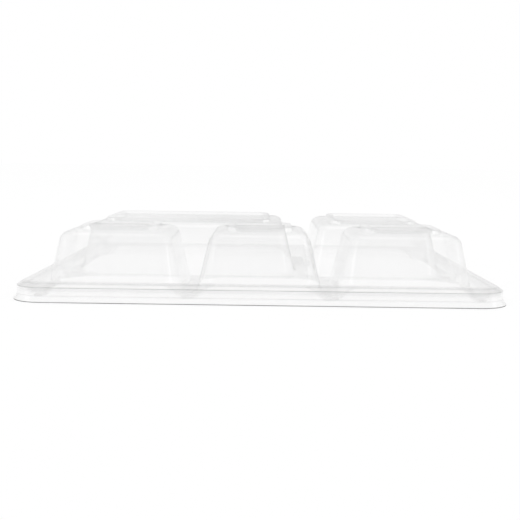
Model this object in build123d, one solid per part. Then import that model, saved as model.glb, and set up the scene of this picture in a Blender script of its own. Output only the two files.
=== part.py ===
from build123d import *
import os
from collections import namedtuple
from math import radians, tan

# Clear thermoformed cover with five domes, and the shallow clear tray it fits over.
# Millimetres. Origin: centre of the footprint, on the ground. +X right, +Y back, +Z up.

# Overall cover
LENGTH = 280.0              # along X, over the flared lip
WIDTH = 220.0               # along Y, over the flared lip
LIP_RADIUS = 19.0           # plan radius of the lip's corners
SHEET = 0.5                 # thickness of the formed sheet

# Rim of the cover: flared lip, upright skirt, sloped ledge, low crowned bead
FLARE_HEIGHT = 3.5
FLARE_INSET = 2.0
SKIRT_TOP = 8.1
LEDGE_TOP = 10.1
LEDGE_INSET = 2.9
BEAD_TOP = 10.9
BEAD_CROWN_INSET = 1.9
BEAD_WIDTH = 4.1            # flat top of the bead, between ledge and moat
MOAT_DRAFT_INSET = 1.5      # how far the moat's wall leans in, from bead to floor
FLOOR = 2.0                 # top of the moat and of the valleys between the domes

# Domes, measured where their walls meet the floor
DOME_SIDE = 123.0           # outer foot of the side domes, from the centre
DOME_END = 98.5             # outer foot of the front and back domes, from the centre
CENTRE_HALF = 36.2          # half length of the front centre dome
VALLEY = 7.7                # between neighbouring front domes
FRONT_ROW_BACK = -21.0      # back foot of the front row
BACK_ROW_FRONT = -9.5       # front foot of the back row
BACK_LEFT_END = 23.7        # right foot of the large back left dome
BACK_RIGHT_END = 32.0       # left foot of the back right dome
DOME_RADIUS = 16.0          # plan radius at the foot
DOME_DRAFT = 13.2           # degrees
SHOULDER_FILLET = 5.5

# Stacking rings on the dome tops
FRONT_TOP = 40.4
BACK_TOP = 38.2
RING_HEIGHT = 2.5
RING_INSET = 17.0           # from the dome's foot to the foot of the ring
RING_WIDTH = 5.7
RING_DRAFT_INSET = 0.6
RING_RADIUS = 9.0

# Tray inside the rim
TRAY_SHEET = 0.8
TRAY_FLOOR_HALF = (132.0, 102.0)
TRAY_FLANGE_HALF = (137.0, 107.0)
TRAY_WALL_LEAN = 0.5
TRAY_HEIGHT = 7.2
TRAY_RADIUS = 12.0
TRAY_FLANGE_RADIUS = 16.5

Outline = namedtuple("Outline", "x0 x1 y0 y1 radius")
Dome = namedtuple("Dome", "foot top")


def outline(half_x, half_y, radius):
    """Rounded rectangle centred on the origin."""
    return Outline(-half_x, half_x, -half_y, half_y, radius)


def shrink(shape, inset):
    """The outline moved inwards by inset, or outwards when inset is negative."""
    radius = max(shape.radius - inset, 0.5)
    return Outline(shape.x0 + inset, shape.x1 - inset, shape.y0 + inset, shape.y1 - inset, radius)


def section(shape, z):
    """Flat rounded rectangle at height z."""
    centre = ((shape.x0 + shape.x1) / 2, (shape.y0 + shape.y1) / 2, z)
    size = (shape.x1 - shape.x0, shape.y1 - shape.y0)
    return Pos(*centre) * RectangleRounded(*size, shape.radius)


def block(lower, z_lower, upper, z_upper):
    """Solid between two outlines, with straight drafted walls."""
    return loft([section(lower, z_lower), section(upper, z_upper)], ruled=True)


def fillet_top(solid, radius):
    """Round the edges of the solid's highest face."""
    return fillet(solid.faces().sort_by(Axis.Z)[-1].edges(), radius)


def domes():
    """The five domes as foot outlines with the height of their rings."""
    inner = CENTRE_HALF + VALLEY
    front = (-DOME_END, FRONT_ROW_BACK, DOME_RADIUS)
    back = (BACK_ROW_FRONT, DOME_END, DOME_RADIUS)
    return [
        Dome(Outline(-DOME_SIDE, -inner, *front), FRONT_TOP),
        Dome(Outline(-CENTRE_HALF, CENTRE_HALF, *front), FRONT_TOP),
        Dome(Outline(inner, DOME_SIDE, *front), FRONT_TOP),
        Dome(Outline(-DOME_SIDE, BACK_LEFT_END, *back), BACK_TOP),
        Dome(Outline(BACK_RIGHT_END, DOME_SIDE, *back), BACK_TOP),
    ]


def rim_block(skin):
    """Solid under the rim's surface; skin is how far it lies below that surface."""
    lip = shrink(outline(LENGTH / 2, WIDTH / 2, LIP_RADIUS), skin)
    skirt = shrink(lip, FLARE_INSET)
    ledge = shrink(skirt, LEDGE_INSET)
    crown = shrink(ledge, BEAD_CROWN_INSET)
    flare = block(lip, 0, skirt, FLARE_HEIGHT)
    upright = block(skirt, FLARE_HEIGHT, skirt, SKIRT_TOP - skin)
    slope = block(skirt, SKIRT_TOP - skin, ledge, LEDGE_TOP - skin)
    bead = block(ledge, LEDGE_TOP - skin, crown, BEAD_TOP - skin)
    return flare + upright + slope + bead


def moat_pocket(skin):
    """Space above the moat and valleys, inside the bead, with the floor lowered by skin."""
    inset = FLARE_INSET + LEDGE_INSET + BEAD_WIDTH
    mouth = shrink(outline(LENGTH / 2, WIDTH / 2, LIP_RADIUS), inset - skin)
    floor = shrink(mouth, MOAT_DRAFT_INSET)
    return block(floor, FLOOR - skin, mouth, BEAD_TOP + SHEET)


def dome_body(dome, skin):
    """One dome up to its shoulder, lowered by skin, with a rounded shoulder."""
    shoulder = dome.top - RING_HEIGHT
    lean = (shoulder - FLOOR) * tan(radians(DOME_DRAFT))
    foot = shrink(dome.foot, skin)
    body = block(foot, FLOOR - SHEET, shrink(foot, lean), shoulder - skin)
    return fillet_top(body, SHOULDER_FILLET - skin)


def ring_bump(dome, skin):
    """Raised stacking ring on one dome: a low plateau with its middle sunk back."""
    shoulder = dome.top - RING_HEIGHT
    outer_foot = shrink(dome.foot, RING_INSET + skin)
    outer_foot = outer_foot._replace(radius=RING_RADIUS - skin)
    outer_top = shrink(outer_foot, RING_DRAFT_INSET)
    inner_top = shrink(outer_foot, RING_WIDTH - RING_DRAFT_INSET - 2 * skin)
    inner_foot = shrink(inner_top, RING_DRAFT_INSET)
    plateau = block(outer_foot, shoulder - 2 * SHEET, outer_top, dome.top - skin)
    sink = block(inner_foot, shoulder - skin, inner_top, dome.top - skin)
    return plateau - sink


def cover_block(skin):
    """Everything under the cover's upper surface, or under its lower one when skin is SHEET."""
    solid = rim_block(skin) - moat_pocket(skin)
    for dome in domes():
        solid = solid + dome_body(dome, skin) + ring_bump(dome, skin)
    return solid


def dome_cover():
    """The formed sheet: the solid under its top surface less the solid under its bottom one."""
    below_lip = shrink(outline(LENGTH / 2, WIDTH / 2, LIP_RADIUS), SHEET)
    opening = block(below_lip, -1, below_lip, 0)
    return cover_block(0) - (cover_block(SHEET) + opening)


def base_tray():
    """Shallow tray: flat floor, upright wall inside the rim, and a flange under the ledge."""
    floor = outline(*TRAY_FLOOR_HALF, TRAY_RADIUS)
    wall_top = shrink(floor, -TRAY_WALL_LEAN)
    flange = outline(*TRAY_FLANGE_HALF, TRAY_FLANGE_RADIUS)
    inner_floor = shrink(floor, TRAY_SHEET)
    inner_top = shrink(wall_top, TRAY_SHEET)
    pan = block(floor, 0, wall_top, TRAY_HEIGHT)
    brim = block(flange, TRAY_HEIGHT - TRAY_SHEET, flange, TRAY_HEIGHT)
    hollow = block(inner_floor, TRAY_SHEET, inner_top, TRAY_HEIGHT)
    return pan + brim - hollow


def main():
    os.makedirs("parts", exist_ok=True)
    for name, maker in (("dome_cover", dome_cover), ("base_tray", base_tray)):
        solid = maker().solid()
        solid.label = name
        export_step(solid, f"parts/{name}.step")


main()
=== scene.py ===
from collections import namedtuple
from math import atan, ceil, cos, pi, radians, sin, tan

import bmesh
import bpy
import numpy as np
from mathutils import Matrix, Vector


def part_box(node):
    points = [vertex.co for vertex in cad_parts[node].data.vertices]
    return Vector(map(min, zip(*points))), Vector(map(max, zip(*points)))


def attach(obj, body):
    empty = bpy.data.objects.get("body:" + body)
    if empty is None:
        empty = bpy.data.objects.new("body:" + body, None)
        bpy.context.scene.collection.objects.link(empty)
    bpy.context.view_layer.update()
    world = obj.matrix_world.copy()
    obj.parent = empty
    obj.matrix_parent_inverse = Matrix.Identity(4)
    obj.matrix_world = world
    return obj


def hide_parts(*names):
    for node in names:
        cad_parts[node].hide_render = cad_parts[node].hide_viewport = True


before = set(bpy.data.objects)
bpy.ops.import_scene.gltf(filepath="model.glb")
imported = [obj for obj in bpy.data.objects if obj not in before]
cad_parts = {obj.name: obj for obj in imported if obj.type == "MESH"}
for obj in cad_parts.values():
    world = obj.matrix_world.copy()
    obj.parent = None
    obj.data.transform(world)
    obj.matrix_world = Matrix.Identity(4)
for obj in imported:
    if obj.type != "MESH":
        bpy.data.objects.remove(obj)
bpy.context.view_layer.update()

MM = 0.001

# Sizes below are in millimetres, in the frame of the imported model.
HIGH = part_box("dome_cover")[1] / MM
HALF_LENGTH = HIGH.x
HALF_WIDTH = HIGH.y
COVER_TOP = HIGH.z
SHEET = 0.45                 # thickness of the cover's sheet

# Rim: (distance in from the lip, height, rounding radius, painted shade along its bend) of each corner of
# its section
LIP_RADIUS = 19.0
RIM_CORNERS = (
    (0.0, 0.45, 0.0, 0.0),
    (0.5, 0.45, 0.5, 0.3),
    (2.0, 3.5, 1.8, 0.5),
    (2.0, 8.1, 0.5, 2.8),
    (4.9, 10.1, 1.8, 2.0),
    (6.6, 10.8, 2.0, 0.2),
    (8.0, 10.8, 0.0, 0.0),
)
RIM_SHADE_RISE = (2.0, 9.0)   # heights between which the rim's painted shade comes in
BACK_SHADE_SHARE = 0.15            # strength of the rim's painted shade, in its bends and up its face, along the back, against the front
BEAD_INSET = RIM_CORNERS[-1][0]
BEAD_TOP = RIM_CORNERS[-1][1]
BEAD_EDGE = 1.0              # from the end of the rim's section to the moat's wall
MOAT_SLOPE = 5.9
MOAT_HEAD_RADIUS = 0.8
MOAT_FOOT_RADIUS = 1.8
MOAT_BEND_SHADE = 0.25             # painted shade along its bends
MOAT_SHADE = 0.15            # painted shade across it, against the rim's
FLOOR = 2.0
NARROW_FLOOR = 9.0           # the floor where the moat is too narrow to be drawn deep
NARROW_GAP = 4.2
WIDE_GAP = 11.0

# Domes
DOME_SIDE = 123.0
DOME_END = 98.5
CENTRE_LEFT = 37.3
CENTRE_RIGHT = 36.2
SIDE_INNER = 43.9            # inner foot of the two outer front domes, from the centre
FRONT_ROW_BACK = -21.0
BACK_ROW_FRONT = -9.5
ROW_DIVIDE = (FRONT_ROW_BACK + BACK_ROW_FRONT) / 2
BACK_LEFT_END = 23.7
BACK_RIGHT_END = 32.0
BACK_DIVIDE = (BACK_LEFT_END + BACK_RIGHT_END) / 2
LEFT_DIVIDE = -(CENTRE_LEFT + SIDE_INNER) / 2
RIGHT_DIVIDE = (CENTRE_RIGHT + SIDE_INNER) / 2
DOME_RADIUS = 16.0
DOME_SLOPE = 1 / tan(radians(13.2))
FOOT_RADIUS = 4.0
SHOULDER_RADIUS = 7.0
FRONT_WALL_SHADE = 0.14      # painted shade of the upper walls, against the rim's
BACK_WALL_SHADE = 0.30
WALL_SHADE_RISE = (10, 28)    # heights between which it comes in
WALL_SHADE_FALL = (31, 36)    # and between which it goes again
FRONT_TOP = COVER_TOP
BACK_TOP = COVER_TOP - 2.2

# Stacking rings
RING_HEIGHT = 2.5
RING_INSET = 17.0
RING_WIDTH = 5.7
RING_SLOPE = 4.0
RING_RADIUS = 11.0
RING_SPREAD = 2.3            # how much further out the back row's rings reach at their outer ends
SPREAD_START = 10.0          # inset where they start to
RING_MARGIN = 2.0            # how far outside the ring its corner radius starts
RING_ROUND = 0.5
DOME_BEND_SHADE = 0.08             # painted shade along the bends of a dome's section, its ring's too

# Tray: (distance in from the flange, height, rounding radius, painted shade along its bend) of its section's
# corners
TRAY_SHEET = 0.5
TRAY_CORNERS = (
    (0.0, 5.9, 0.0, 0.0),
    (0.0, 7.5, 0.6, 0.1),
    (4.4, 7.5, 0.8, 0.0),
    (5.6, TRAY_SHEET, 1.5, 0.0),
    (20.0, TRAY_SHEET, 0.0, 0.0),
)
TRAY_RADIUS = 16.5
TRAY_SHADE_TOP = 2.5          # height at which its wall has its full painted shade and reflection
SHARPEST_TRAY = 0.5          # least radius of its corners in plan
TRAY_LOOPS = (0.7, 0.35)     # loops of its floor, as shares of its size
TRAY_BACK_SHADE_SHARE = 0.4              # how strongly its painted shade and reflection show along its back, against its front

# Mesh spacing along a side: END_STEP as far as END_RUN, FINE_STEP as far as FINE_RUN, then COARSE_STEP
END_STEP = 0.7
END_RUN = 4.2
FINE_STEP = 2.2
FINE_RUN = 15.0
COARSE_STEP = 8.0

# Mesh spacing up a section
OUTER_LOOPS = 14             # from a cell's border to its dome's foot
PANEL_START = RING_INSET + RING_WIDTH + 1.0  # inset where the flat top inside a ring begins
PROFILE_STEP = 0.01          # of the fine section that the spacing is worked out on
TOP_LOOPS = (0.72, 0.4)      # loops of a dome's top inside its ring, as shares of its size
FOOT_STEPS = (0.0, 0.3, 0.6, 0.95, 1.3, 1.7, 2.1, 2.6, 3.4, 4.8)
WALL_START = 6.4             # inset where the even spacing takes over from the foot's
MAX_TURN = radians(11)       # most that a section turns in one step
MAX_RUN = 4.0                # and most that it runs
WELD_REACH = 0.02            # points closer than this are joined
SHARPEST = 0.3               # least radius of a dome's corners in plan
SHARPEST_RING = 1.5          # and of its ring's corners
BEND_REACH = 0.15            # distance to each side over which a bend is measured
TIGHT_BEND = radians(45)     # bend over that distance that counts as full

Outline = namedtuple("Outline", "x0 x1 y0 y1 radii")
Cell = namedtuple("Cell", "border foot top stops spread")


# ---------------------------------------------------------------- plan outlines


def rounded(x0, x1, y0, y1, radius):
    """Rounded rectangle with one radius at all four corners."""
    return Outline(x0, x1, y0, y1, (radius,) * 4)


def shrink(shape, inset, radius=None):
    """The outline moved inwards, with its radii reduced to match or set to radius."""
    radii = tuple(max(r - inset, SHARPEST) if radius is None else radius for r in shape.radii)
    return Outline(shape.x0 + inset, shape.x1 - inset, shape.y0 + inset, shape.y1 - inset, radii)


def sides(shape):
    """Each side as (start corner, along, outward normal, length, start radius, end radius)."""
    corners = [(shape.x0, shape.y0), (shape.x1, shape.y0), (shape.x1, shape.y1), (shape.x0, shape.y1)]
    found = []
    for i in range(4):
        start = np.array(corners[i])
        end = np.array(corners[(i + 1) % 4])
        length = np.linalg.norm(end - start)
        along = (end - start) / length
        normal = np.array([along[1], -along[0]])
        found.append((start, along, normal, length, shape.radii[i], shape.radii[(i + 1) % 4]))
    return found


def side_length(side):
    """Length of a side from the middle of one corner's arc to the middle of the next."""
    _, _, _, length, r0, r1 = side
    return length - (r0 + r1) * (1 - pi / 4)


def side_points(side, distances):
    """Points and outward normals at distances along a side, from mid-corner to mid-corner."""
    start, along, normal, length, r0, r1 = side
    points, normals = [], []
    for s in distances:
        first = s - r0 * pi / 4
        last = s - (side_length(side) - r1 * pi / 4)
        if first < 0:
            centre, radius, angle = start + along * r0 - normal * r0, r0, first / r0
        elif last > 0:
            centre, radius, angle = start + along * (length - r1) - normal * r1, r1, last / r1
        else:
            centre, radius, angle = start + along * (r0 + first) - normal * r0, r0, 0.0
        out = normal * cos(angle) + along * sin(angle)
        points.append(centre + out * radius)
        normals.append(out)
    return np.array(points), np.array(normals)


def inside_distance(shape, points):
    """How far points lie inside a rounded rectangle; negative outside it."""
    radius = shape.radii[0]
    centre = np.array([(shape.x0 + shape.x1) / 2, (shape.y0 + shape.y1) / 2])
    half = np.array([(shape.x1 - shape.x0) / 2, (shape.y1 - shape.y0) / 2])
    q = np.abs(points - centre) - (half - radius)
    outside = np.linalg.norm(np.maximum(q, 0), axis=1)
    return radius - outside - np.minimum(q.max(axis=1), 0)


# ---------------------------------------------------------------- heights


def smoothstep(low, high, x):
    t = np.clip((x - low) / (high - low), 0, 1)
    return t * t * (3 - 2 * t)


def climbing_wall(x, foot, slope, low, high, low_radius, high_radius):
    """Height at x of a wall that passes foot = (x, z) and climbs from low to high, rounded at both ends."""
    lean = atan(1 / slope)
    tangent = tan((pi / 2 - lean) / 2)
    z = np.clip(foot[1] + slope * (x - foot[0]), low, high)
    low_centre = foot[0] + (low - foot[1]) / slope - low_radius * tangent
    high_centre = foot[0] + (high - foot[1]) / slope + high_radius * tangent
    from_low = x - low_centre
    in_low = (from_low > 0) & (from_low < low_radius * cos(lean))
    low_arc = low + low_radius - np.sqrt(np.maximum(low_radius**2 - from_low**2, 0))
    from_high = high_centre - x
    in_high = (from_high > 0) & (from_high < high_radius * cos(lean))
    high_arc = high - high_radius + np.sqrt(np.maximum(high_radius**2 - from_high**2, 0))
    z = np.where(in_low, low_arc, z)
    return np.where(in_high, high_arc, z)


def dome_height(inset, floor, top):
    """Height of a dome at a distance inside its foot, with its stacking ring."""
    shoulder = top - RING_HEIGHT
    wall = climbing_wall(inset, (0.0, FLOOR), DOME_SLOPE, floor, shoulder, FOOT_RADIUS, SHOULDER_RADIUS)
    ring = (shoulder, top, RING_ROUND, RING_ROUND)
    outer = climbing_wall(inset, (RING_INSET, shoulder), RING_SLOPE, *ring)
    inner = climbing_wall(-inset, (-RING_INSET - RING_WIDTH, shoulder), RING_SLOPE, *ring)
    return wall + np.minimum(outer, inner) - shoulder


def moat_height(depth, floor):
    """Height of the bead's edge and the moat's wall, at a distance in from the rim's section."""
    radii = (MOAT_FOOT_RADIUS, MOAT_HEAD_RADIUS)
    return climbing_wall(-depth, (-BEAD_EDGE, BEAD_TOP), MOAT_SLOPE, floor, BEAD_TOP, *radii)


def floor_height(gap):
    """Floor between bead and dome: low where they are far apart, high where they almost meet."""
    return NARROW_FLOOR + (FLOOR - NARROW_FLOOR) * smoothstep(NARROW_GAP, WIDE_GAP, gap)


# ---------------------------------------------------------------- layout


def inner_border():
    """Plan outline where the rim's section ends on top of the bead."""
    lip = rounded(-HALF_LENGTH, HALF_LENGTH, -HALF_WIDTH, HALF_WIDTH, LIP_RADIUS)
    return shrink(lip, BEAD_INSET)


def cells():
    """One cell per dome: its share of the floor, its foot, its top height, T-junctions on its sides
    and how far its ring spreads to the left and right."""
    edge = inner_border()
    x, y, r = edge.x1, edge.y1, edge.radii[0]
    front = (-DOME_END, FRONT_ROW_BACK, DOME_RADIUS)
    back = (BACK_ROW_FRONT, DOME_END, DOME_RADIUS)
    return [
        Cell(Outline(-x, LEFT_DIVIDE, -y, ROW_DIVIDE, (r, 0, 0, 0)),
             rounded(-DOME_SIDE, -SIDE_INNER, *front), FRONT_TOP, {}, (0, 0)),
        Cell(Outline(LEFT_DIVIDE, RIGHT_DIVIDE, -y, ROW_DIVIDE, (0, 0, 0, 0)),
             rounded(-CENTRE_LEFT, CENTRE_RIGHT, *front), FRONT_TOP, {2: BACK_DIVIDE}, (0, 0)),
        Cell(Outline(RIGHT_DIVIDE, x, -y, ROW_DIVIDE, (0, r, 0, 0)),
             rounded(SIDE_INNER, DOME_SIDE, *front), FRONT_TOP, {}, (0, 0)),
        Cell(Outline(-x, BACK_DIVIDE, ROW_DIVIDE, y, (0, 0, 0, r)),
             rounded(-DOME_SIDE, BACK_LEFT_END, *back), BACK_TOP, {0: LEFT_DIVIDE}, (RING_SPREAD, 0)),
        Cell(Outline(BACK_DIVIDE, x, ROW_DIVIDE, y, (0, 0, r, 0)),
             rounded(BACK_RIGHT_END, DOME_SIDE, *back), BACK_TOP, {0: RIGHT_DIVIDE}, (0, RING_SPREAD)),
    ]


def graded(length):
    """Distances from 0 up to length, close together near both ends."""
    run = min(FINE_RUN, length / 2)
    start = np.arange(0, END_RUN, END_STEP)
    fine = np.concatenate([start, np.linspace(END_RUN, run, ceil((run - END_RUN) / FINE_STEP) + 1)])
    middle = np.linspace(run, length - run, ceil((length - 2 * run) / COARSE_STEP) + 1)
    return np.unique(np.round(np.concatenate([fine, middle, length - fine]), 6))[:-1]


def side_stations(cell, index):
    """Distances along one side of a cell's border, fine near its ends and at any T-junction."""
    side = sides(cell.border)[index]
    length = side_length(side)
    if index not in cell.stops:
        return graded(length)
    stop = abs(cell.stops[index] - side[0][0])
    stop -= side[4] * (1 - pi / 4)
    return np.concatenate([graded(stop), stop + graded(length - stop)])


# ---------------------------------------------------------------- meshes


class Sheet:
    """Collects loops of points into quads.

    Each point also has "bend", the painted shade along a bend there, and "depth", how strong the painted
    shade is there; on the tray it also sets how strongly the sheet mirrors.
    """

    def __init__(self):
        self.points = []
        self.bends = []
        self.depths = []
        self.faces = []

    def add_loop(self, xy, z, bend, depth=0.0):
        start = len(self.points)
        heights = np.broadcast_to(z, len(xy))
        for (x, y), height in zip(xy, heights):
            self.points.append((x * MM, y * MM, height * MM))
        self.bends.extend(float(b) for b in np.broadcast_to(bend, len(xy)))
        self.depths.extend(float(d) for d in np.broadcast_to(depth, len(xy)))
        return range(start, start + len(xy))

    def bridge(self, outer, inner):
        n = len(outer)
        for i in range(n):
            j = (i + 1) % n
            self.faces.append((outer[i], outer[j], inner[j], inner[i]))

    def fan(self, loop, centre, z):
        middle = self.add_loop([centre], z, 0.0)[0]
        n = len(loop)
        for i in range(n):
            self.faces.append((loop[i], loop[(i + 1) % n], middle))

    def to_object(self, name):
        mesh = bpy.data.meshes.new(name)
        mesh.from_pydata(self.points, [], self.faces)
        # both attributes carry painted shade to the material
        for label, values in (("bend", self.bends), ("depth", self.depths)):
            mesh.attributes.new(label, "FLOAT", "POINT").data.foreach_set("value", values)
        mesh.update()
        weld(mesh)
        mesh.shade_smooth()
        piece = bpy.data.objects.new(name, mesh)
        bpy.context.scene.collection.objects.link(piece)
        return piece


def weld(mesh):
    """Join the points that neighbouring patches share."""
    work = bmesh.new()
    work.from_mesh(mesh)
    bmesh.ops.remove_doubles(work, verts=work.verts, dist=WELD_REACH * MM)
    work.to_mesh(mesh)
    work.free()


def profile_stations(height, start, end):
    """Distances that follow a section closely where it bends and loosely where it is straight."""
    fine = np.arange(start, end, PROFILE_STEP)
    z = height(fine)
    angle = np.unwrap(np.arctan2(np.diff(z), np.diff(fine)))
    run = np.hypot(np.diff(fine), np.diff(z))
    found, turned, travelled = [start], 0.0, 0.0
    for i in range(1, len(angle)):
        turned += abs(angle[i] - angle[i - 1])
        travelled += run[i]
        if turned >= MAX_TURN or travelled >= MAX_RUN:
            found.append(fine[i])
            turned = travelled = 0.0
    found.append(end)
    return np.array(found)


def bend_of(height, inset):
    """How sharply a section bends at a distance, from 0 on the flat to 1 at a tight corner."""
    before = np.arctan2(height(inset) - height(inset - BEND_REACH), BEND_REACH)
    after = np.arctan2(height(inset + BEND_REACH) - height(inset), BEND_REACH)
    return np.clip(np.abs(after - before) / TIGHT_BEND, 0, 1)


def dome_outline(cell, inset):
    """Plan outline of a dome at a distance inside its foot."""
    past_shoulder = inset > RING_INSET - RING_MARGIN
    radius = max(RING_RADIUS + RING_INSET - inset, SHARPEST_RING) if past_shoulder else None
    shape = shrink(cell.foot, inset, radius)
    left, right = (reach * smoothstep(SPREAD_START, RING_INSET, inset) for reach in cell.spread)
    return shape._replace(x0=shape.x0 - left, x1=shape.x1 + right)


def wall_shade(cell, z):
    """Painted shade of a dome's wall at a height: none low down, most just under the shoulder."""
    most = FRONT_WALL_SHADE if cell.top == FRONT_TOP else BACK_WALL_SHADE
    return most * smoothstep(*WALL_SHADE_RISE, z) * (1 - smoothstep(*WALL_SHADE_FALL, z))


def dome_loops(sheet, cell):
    """The surface of one cell, from its border to the middle of its dome."""
    edge = inner_border()
    border_sides = sides(cell.border)
    stations = [side_stations(cell, i) for i in range(4)]
    shares = [s / side_length(border_sides[i]) for i, s in enumerate(stations)]

    def ring_points(shape):
        parts = [side_points(side, share * side_length(side))[0]
                 for side, share in zip(sides(shape), shares)]
        return np.concatenate(parts)

    border = ring_points(cell.border)
    foot = ring_points(cell.foot)

    def floor_at(xy):
        return floor_height(inside_distance(edge, xy) - inside_distance(cell.foot, xy))

    def outer_height(xy):
        depth = inside_distance(edge, xy)
        inset = inside_distance(cell.foot, xy)
        floor = floor_at(xy)
        return np.maximum(dome_height(inset, floor, cell.top), moat_height(depth, floor))

    previous = None
    for k in range(OUTER_LOOPS):
        share = (1 - cos(pi * k / OUTER_LOOPS)) / 2
        xy = border + (foot - border) * share
        # painted shade along the moat's bends and across the moat
        loop = sheet.add_loop(xy, outer_height(xy), MOAT_BEND_SHADE * moat_bend(edge, xy), MOAT_SHADE)
        if previous:
            sheet.bridge(previous, loop)
        previous = loop

    def section(inset):
        return dome_height(inset, FLOOR, cell.top)

    wall = profile_stations(section, WALL_START, PANEL_START)
    for inset in np.concatenate([FOOT_STEPS, wall]):
        xy = ring_points(dome_outline(cell, inset))
        z = dome_height(np.full(len(xy), inset), floor_at(xy), cell.top)
        # painted shade along the section's bends and in a band up the upper walls
        loop = sheet.add_loop(xy, z, DOME_BEND_SHADE * bend_of(section, inset), wall_shade(cell, z))
        sheet.bridge(previous, loop)
        previous = loop

    centre = np.array([(cell.foot.x0 + cell.foot.x1) / 2, (cell.foot.y0 + cell.foot.y1) / 2])
    panel = cell.top - RING_HEIGHT
    for share in TOP_LOOPS:
        loop = sheet.add_loop(centre + (xy - centre) * share, panel, 0.0)
        sheet.bridge(previous, loop)
        previous = loop
    sheet.fan(previous, centre, panel)


def moat_bend(edge, xy):
    """Bend of the moat's wall at each point."""
    depth = inside_distance(edge, xy)
    return bend_of(lambda d: moat_height(d, FLOOR), depth)


def rounded_section(corners):
    """Points and painted bend shade along a polyline of (x, z, radius, bend shade) corners, with arcs at the
    corners.
    """
    points = [(np.array(corners[0][:2]), 0.0)]
    for before, corner, after in zip(corners, corners[1:], corners[2:]):
        here = np.array(corner[:2])
        back = np.array(before[:2]) - here
        ahead = np.array(after[:2]) - here
        back /= np.linalg.norm(back)
        ahead /= np.linalg.norm(ahead)
        opening = np.arccos(np.clip(back @ ahead, -1, 1))
        cut = corner[2] / tan(opening / 2)
        bisector = (back + ahead) / np.linalg.norm(back + ahead)
        centre = here + bisector * corner[2] / sin(opening / 2)
        start = here + back * cut - centre
        turn = pi - opening
        steps = max(3, ceil(turn / MAX_TURN))
        way = np.sign(start[0] * bisector[1] - start[1] * bisector[0]) * -1
        for k in range(steps + 1):
            angle = way * turn * k / steps
            spun = (start[0] * cos(angle) - start[1] * sin(angle),
                    start[0] * sin(angle) + start[1] * cos(angle))
            points.append((centre + np.array(spun), corner[3] * (0 < k < steps)))
    points.append((np.array(corners[-1][:2]), 0.0))
    return points


def rim_loops(sheet):
    """The rim, from the bead's top out to the lip."""
    by_name = dict(zip(("front_left", "front", "front_right", "back_left", "back_right"), cells()))
    # the sides of cells that lie along the rim, in order
    path = (("front_left", 0), ("front", 0), ("front_right", 0), ("front_right", 1), ("back_right", 1),
            ("back_right", 2), ("back_left", 2), ("back_left", 3), ("front_left", 3))
    points, normals = [], []
    for name, index in path:
        cell = by_name[name]
        xy, out = side_points(sides(cell.border)[index], side_stations(cell, index))
        points.append(xy)
        normals.append(out)
    points = np.concatenate(points)
    normals = np.concatenate(normals)
    # the rim's painted shade is weaker where it faces the back
    fade = 1 - (1 - BACK_SHADE_SHARE) * np.maximum(normals[:, 1], 0)
    previous = None
    for (inset, z), bend in reversed(rounded_section(RIM_CORNERS)):
        xy = points + normals * (BEAD_INSET - inset)
        # painted shade along the section's bends, and rising with height up its face
        loop = sheet.add_loop(xy, z, bend * fade, fade * smoothstep(*RIM_SHADE_RISE, z))
        if previous:
            sheet.bridge(loop, previous)
        previous = loop


def thicken(piece, thickness, edge_slot=1):
    """Give a surface the thickness of the sheet, below it, with the cut edge in its own slot."""
    solid = piece.modifiers.new("sheet", "SOLIDIFY")
    solid.thickness = thickness * MM
    solid.offset = -1
    solid.use_even_offset = True
    solid.thickness_clamp = 0
    solid.material_offset_rim = edge_slot


def make_cover():
    sheet = Sheet()
    for cell in cells():
        dome_loops(sheet, cell)
    rim_loops(sheet)
    return sheet.to_object("clear_dome_cover")


def make_tray():
    """The shallow tray inside the rim, as loops from its flange to its middle."""
    sheet = Sheet()
    low, high = (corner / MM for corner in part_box("base_tray"))
    edge = rounded(low.x, high.x, low.y, high.y, TRAY_RADIUS)
    points, normals = [], []
    for side in sides(edge):
        xy, out = side_points(side, graded(side_length(side)))
        points.append(xy)
        normals.append(out)
    points = np.concatenate(points)
    normals = np.concatenate(normals)
    # the tray's painted shade and reflection are weaker where its wall faces the back
    fade = 1 - (1 - TRAY_BACK_SHADE_SHARE) * np.maximum(normals[:, 1], 0)
    previous = None
    for (inset, z), bend in rounded_section(TRAY_CORNERS):
        # the outline moves in by room at most, and shrinks evenly from there
        room = min(inset, TRAY_RADIUS - SHARPEST_TRAY)
        xy = points - normals * room
        xy = xy * (1 - (inset - room) / high.x)
        # painted shade along the bends, and painted shade and reflection rising up the wall
        loop = sheet.add_loop(xy, z, bend, fade * smoothstep(TRAY_SHEET, TRAY_SHADE_TOP, z))
        if previous:
            sheet.bridge(previous, loop)
        previous = loop
    for share in TRAY_LOOPS:
        loop = sheet.add_loop(xy * share, TRAY_SHEET, 0.0)
        sheet.bridge(previous, loop)
        previous = loop
    sheet.fan(previous, (0.0, 0.0), TRAY_SHEET)
    return sheet.to_object("clear_base_tray")


# ---------------------------------------------------------------- materials


class Nodes:
    """A short way to write a node tree."""

    def __init__(self, tree):
        self.tree = tree
        tree.nodes.clear()

    def add(self, kind, inputs=None, **settings):
        node = self.tree.nodes.new(kind)
        for key, value in settings.items():
            setattr(node, key, value)
        for key, value in (inputs or {}).items():
            if isinstance(value, bpy.types.NodeSocket):
                self.tree.links.new(value, node.inputs[key])
            else:
                node.inputs[key].default_value = value
        return node

    def math(self, operation, a, b=0.0, c=0.0):
        return self.add("ShaderNodeMath", {0: a, 1: b, 2: c}, operation=operation).outputs[0]

    def between(self, share, low, high):
        """The value a share of the way from low to high."""
        return self.math("MULTIPLY_ADD", share, high - low, low)

    def grey(self, value):
        return self.add("ShaderNodeCombineColor", {0: value, 1: value, 2: value}).outputs["Color"]


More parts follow.
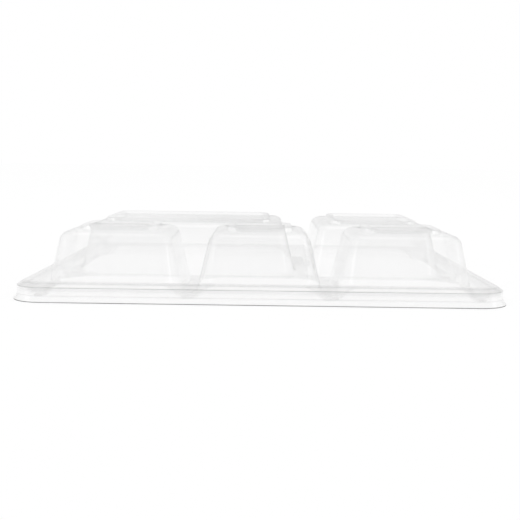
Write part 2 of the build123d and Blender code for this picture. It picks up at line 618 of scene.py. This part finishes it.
# Sheet's look
HEAD_ON_REFLECTION = 0.043   # share of light mirrored when seen head on
SHEET_TINT = 0.0032          # light lost in each surface
DEPTH_SHADE = 0.036           # and more of it, painted shade, where the depth attribute is 1
GLANCING_TINT_AND_SHADE = 0.04             # and more at a glancing angle: the longer path through the sheet, and painted shade for the dark edges that refraction gives
EDGE_POWER = 25.0            # how quickly that comes in towards the edge
BEND_SHADE = 0.095            # and more along tight bends, painted shade
SHEET_UNEVEN = (0.6, 1.4)    # least and most of the tint, as shares of it
BEND_UNEVEN = (0.2, 1.8)     # and of the painted shade along bends
EDGE_UNEVEN = (0.7, 1.1)     # and of the cut edge's darkness
SHEET_ROUGHNESS = (0.05, 0.15)
TRAY_WALL_STRENGTH = 0.42    # how much of the sheet's look the tray's wall and flange have
TRAY_FLOOR_STRENGTH = 0.02   # and its floor, which lies flat on the table

# Table's look
FLOOR_SHADE = (0.94, 0.95)
FLOOR_GLOW = 1.0
FLOOR_MATTE = 0.1            # share of its look that takes light and shadow
FLOOR_SHEEN = 0.985          # the table's brightness as the sheet mirrors it


def clear_sheet(name, seed, weakest=1.0, strongest=1.0):
    """Clear formed sheet: lets light through, mirrors more at a glancing angle, with painted shade in tight
    bends, at a glancing angle and where its depth attribute is high.

    The strength of its look, painted shade included, is weakest where the depth attribute is 0, and
    strongest where it is 1.
    """
    material = bpy.data.materials.new(name)
    material.use_nodes = True
    n = Nodes(material.node_tree)
    place = n.add("ShaderNodeTexCoord").outputs["Object"]
    moved = n.add("ShaderNodeVectorMath", {0: place, 1: (seed, seed * 0.7, 0.0)}, operation="ADD").outputs[0]

    flow = n.add("ShaderNodeTexNoise", {"Vector": moved, "Scale": 55.0, "Detail": 2.0, "Roughness": 0.45})
    grain = n.add("ShaderNodeTexNoise", {"Vector": moved, "Scale": 900.0, "Detail": 2.0, "Roughness": 0.6})
    waves = n.add("ShaderNodeBump", {"Height": flow.outputs["Fac"], "Strength": 0.10, "Distance": 0.0012})
    bump = n.add("ShaderNodeBump", {"Height": grain.outputs["Fac"], "Strength": 0.04, "Distance": 0.00004,
                                    "Normal": waves.outputs["Normal"]})
    normal = bump.outputs["Normal"]

    facing = n.add("ShaderNodeLayerWeight", {"Blend": 0.5, "Normal": normal}).outputs["Facing"]
    glancing = n.math("POWER", facing, 5.0)
    mirror = n.between(glancing, HEAD_ON_REFLECTION, 1.0)
    depth = n.add("ShaderNodeAttribute", attribute_name="depth").outputs["Fac"]
    # depth sets the painted shade; on the tray it also sets how strongly the sheet mirrors
    strength = n.between(depth, weakest, strongest)
    mirror = n.math("MULTIPLY", mirror, strength)

    bend = n.add("ShaderNodeAttribute", attribute_name="bend").outputs["Fac"]
    uneven = n.between(flow.outputs["Fac"], *SHEET_UNEVEN)
    # more loss at a glancing angle: the longer path, and painted shade for refraction's dark edges; it also
    # darkens the reflection
    edge_tint_and_shade = n.math("MULTIPLY", n.math("POWER", facing, EDGE_POWER), GLANCING_TINT_AND_SHADE)
    drift = n.add("ShaderNodeTexNoise", {"Vector": moved, "Scale": 16.0, "Detail": 1.0}).outputs["Fac"]
    # painted shade along tight bends
    shade_in_bends = n.math("MULTIPLY", n.math("MULTIPLY", bend, BEND_SHADE), n.between(drift, *BEND_UNEVEN))
    # the sheet's own tint, plus painted shade where the depth attribute is high
    tint_and_depth_shade = n.math("MULTIPLY", uneven, n.math("MULTIPLY_ADD", depth, DEPTH_SHADE, SHEET_TINT))
    loss = n.math("ADD", n.math("ADD", edge_tint_and_shade, shade_in_bends), tint_and_depth_shade)
    passed = n.math("SUBTRACT", 1.0, n.math("MULTIPLY", loss, strength))
    returned = n.math("SUBTRACT", 1.0, edge_tint_and_shade)

    roughness = n.between(grain.outputs["Fac"], *SHEET_ROUGHNESS)
    through = n.add("ShaderNodeBsdfTransparent", {"Color": n.grey(passed)})
    shine = n.add("ShaderNodeBsdfGlossy", {"Color": n.grey(returned), "Roughness": roughness,
                                           "Normal": normal})
    both = n.add("ShaderNodeMixShader", {0: mirror, 1: through.outputs[0], 2: shine.outputs[0]})
    n.add("ShaderNodeOutputMaterial", {"Surface": both.outputs[0]})
    return material


def cut_edge(name, darkness):
    """Trimmed edge of the sheet: greyer and rougher than its faces, and lost when seen through them."""
    material = bpy.data.materials.new(name)
    material.use_nodes = True
    n = Nodes(material.node_tree)
    place = n.add("ShaderNodeTexCoord").outputs["Object"]
    nicks = n.add("ShaderNodeTexNoise", {"Vector": place, "Scale": 1400.0, "Detail": 2.0}).outputs["Fac"]
    long_wave = n.add("ShaderNodeTexNoise", {"Vector": place, "Scale": 30.0, "Detail": 1.0}).outputs["Fac"]
    outside = n.math("SUBTRACT", 1.0, n.add("ShaderNodeNewGeometry").outputs["Backfacing"])
    uneven = n.math("MULTIPLY_ADD", nicks, 0.2, n.between(long_wave, *EDGE_UNEVEN))
    grey = n.math("SUBTRACT", 1.0, n.math("MULTIPLY", n.math("MULTIPLY", uneven, outside), darkness))
    through = n.add("ShaderNodeBsdfTransparent", {"Color": n.grey(grey)})
    bump = n.add("ShaderNodeBump", {"Height": nicks, "Strength": 0.3, "Distance": 0.0001})
    shine = n.add("ShaderNodeBsdfGlossy", {"Color": (0.8, 0.8, 0.8, 1), "Roughness": 0.35,
                                           "Normal": bump.outputs["Normal"]})
    both = n.add("ShaderNodeMixShader", {0: n.math("MULTIPLY", outside, 0.2 * darkness),
                                         1: through.outputs[0], 2: shine.outputs[0]})
    n.add("ShaderNodeOutputMaterial", {"Surface": both.outputs[0]})
    return material


def pale_floor():
    """White table lit evenly from below, with a little shading from above."""
    material = bpy.data.materials.new("pale_floor")
    material.use_nodes = True
    n = Nodes(material.node_tree)
    place = n.add("ShaderNodeTexCoord").outputs["Object"]
    mottle = n.add("ShaderNodeTexNoise", {"Vector": place, "Scale": 300.0, "Detail": 3.0}).outputs["Fac"]
    shade = n.between(mottle, *FLOOR_SHADE)
    matte = n.add("ShaderNodeBsdfDiffuse", {"Color": n.grey(shade), "Roughness": 0.6})
    mirrored = n.add("ShaderNodeLightPath").outputs["Is Glossy Ray"]
    strength = n.between(mirrored, FLOOR_GLOW, FLOOR_SHEEN)
    glow = n.add("ShaderNodeEmission", {"Color": (1, 1, 1, 1), "Strength": strength})
    both = n.add("ShaderNodeMixShader", {0: FLOOR_MATTE, 1: glow.outputs[0], 2: matte.outputs[0]})
    n.add("ShaderNodeOutputMaterial", {"Surface": both.outputs[0]})
    return material


# ---------------------------------------------------------------- stage


FLOOR_HALF = 6.0
FLOOR_HEIGHT = -0.0003


def make_floor():
    signs = ((-1, -1), (1, -1), (1, 1), (-1, 1))
    corners = [(x * FLOOR_HALF, y * FLOOR_HALF, FLOOR_HEIGHT) for x, y in signs]
    mesh = bpy.data.meshes.new("floor")
    mesh.from_pydata(corners, [], [(0, 1, 2, 3)])
    mesh.materials.append(pale_floor())
    floor = bpy.data.objects.new("floor", mesh)
    bpy.context.scene.collection.objects.link(floor)


# What the sheet mirrors: grey level against the height and the sideways lean of the ray
STUDIO_STOPS = ((0.0, 0.76), (0.05, 0.89), (0.10, 0.92), (0.15, 0.90), (0.27, 1.0), (0.37, 0.80),
                (0.6, 0.76), (1.0, 0.60))
SIDE_STOPS = ((-0.55, 0.82), (-0.30, 1.0), (-0.12, 1.0), (-0.05, 0.92), (0.05, 0.92), (0.12, 0.97),
              (0.30, 0.97), (0.55, 0.80))
FRONT_DIMMING = 0.08
FRONT_START = 0.2            # backward lean of the ray where the dimming starts
FRONT_END = -0.7             # and where it is full


def grey_ramp(n, value, stops):
    """Grey level that follows straight lines between (value, grey) stops."""
    node = n.add("ShaderNodeValToRGB", {"Fac": value})
    elements = node.color_ramp.elements
    elements.remove(elements[1])
    for i, (position, grey) in enumerate(stops):
        element = elements[0] if i == 0 else elements.new(position)
        element.position = position
        element.color = (grey, grey, grey, 1)
    return node.outputs["Color"]


def make_world():
    """White to the eye and to the floor. Reflections see a studio that is darker behind the camera."""
    world = bpy.data.worlds.new("studio")
    bpy.context.scene.world = world
    world.use_nodes = True
    n = Nodes(world.node_tree)
    path = n.add("ShaderNodeLightPath")
    ray = n.add("ShaderNodeTexCoord").outputs["Generated"]
    toward = n.add("ShaderNodeSeparateXYZ", {0: ray})
    height = grey_ramp(n, toward.outputs["Z"], STUDIO_STOPS)
    front = n.add("ShaderNodeMapRange", {"Value": toward.outputs["Y"],
                                         "From Min": FRONT_START, "From Max": FRONT_END,
                                         "To Min": 1.0, "To Max": 1 - FRONT_DIMMING}).outputs["Result"]
    aside = n.math("MULTIPLY_ADD", toward.outputs["X"], 0.5, 0.5)  # from -1 to 1 into 0 to 1
    side = grey_ramp(n, aside, [((1 + x) / 2, grey) for x, grey in SIDE_STOPS])
    strength = n.math("MULTIPLY", front, side)
    reflected = n.add("ShaderNodeBackground", {"Color": height, "Strength": strength})
    even = n.add("ShaderNodeBackground", {"Color": (1, 1, 1, 1), "Strength": 1.0})
    seen = n.add("ShaderNodeMixShader", {0: path.outputs["Is Glossy Ray"], 1: even.outputs[0],
                                         2: reflected.outputs[0]})
    n.add("ShaderNodeOutputWorld", {"Surface": seen.outputs[0]})


# Softboxes: (name, place, size, power)
LIGHT_TARGET = (0.0, 0.0, 0.02)
LIGHTS = (
    ("overhead_softbox", (0.0, 0.1, 1.5), (1.2, 0.9), 1.4),
    ("left_softbox", (-1.3, -0.5, 0.8), (0.5, 0.9), 1.0),
    ("right_softbox", (1.3, -0.3, 0.7), (0.4, 0.9), 0.8),
)


def area_light(name, place, size, power):
    light = bpy.data.lights.new(name, "AREA")
    light.shape = "RECTANGLE"
    light.size, light.size_y = size
    light.energy = power
    lamp = bpy.data.objects.new(name, light)
    lamp.location = place
    lamp.rotation_euler = (Vector(LIGHT_TARGET) - Vector(place)).to_track_quat("-Z", "Y").to_euler()
    bpy.context.scene.collection.objects.link(lamp)


# Camera: place in metres, angles in radians, lens in millimetres
CAMERA_PLACE = (0.0002, -0.5440, 0.0814)
CAMERA_DOWN = 0.1283
CAMERA_YAW = -0.0009
CAMERA_ROLL = 0.0138
CAMERA_LENS = 55.69


def make_camera():
    data = bpy.data.cameras.new("camera")
    data.lens = CAMERA_LENS
    data.sensor_width = 36.0
    data.clip_start = 0.01
    level = cos(CAMERA_DOWN)
    ahead = Vector((sin(CAMERA_YAW) * level, cos(CAMERA_YAW) * level, -sin(CAMERA_DOWN)))
    right = Vector((cos(CAMERA_YAW), -sin(CAMERA_YAW), 0.0))
    up = right.cross(ahead)
    rolled_right = right * cos(CAMERA_ROLL) + up * sin(CAMERA_ROLL)
    rolled_up = up * cos(CAMERA_ROLL) - right * sin(CAMERA_ROLL)
    turn = Matrix((rolled_right, rolled_up, -ahead)).transposed().to_4x4()
    camera = bpy.data.objects.new("camera", data)
    camera.matrix_world = Matrix.Translation(CAMERA_PLACE) @ turn
    bpy.context.scene.collection.objects.link(camera)
    bpy.context.scene.camera = camera


def set_view():
    scene = bpy.context.scene
    scene.view_settings.view_transform = "Standard"
    scene.view_settings.look = "None"
    scene.cycles.max_bounces = 16
    scene.cycles.transparent_max_bounces = 64
    scene.cycles.sample_clamp_indirect = 4.0


def build():
    cover = make_cover()
    thicken(cover, SHEET)
    cover.data.materials.append(clear_sheet("clear_cover_sheet", seed=0.3))
    cover.data.materials.append(cut_edge("cover_cut_edge", darkness=0.75))
    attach(cover, "cover")
    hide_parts("dome_cover")

    tray = make_tray()
    thicken(tray, TRAY_SHEET)
    tray_look = clear_sheet("clear_tray_sheet", seed=1.7, weakest=TRAY_FLOOR_STRENGTH, strongest=TRAY_WALL_STRENGTH)
    tray.data.materials.append(tray_look)
    tray.data.materials.append(cut_edge("tray_cut_edge", darkness=0.3))
    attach(tray, "tray")
    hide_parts("base_tray")


build()
make_floor()
make_world()
for light in LIGHTS:
    area_light(*light)
make_camera()
set_view()
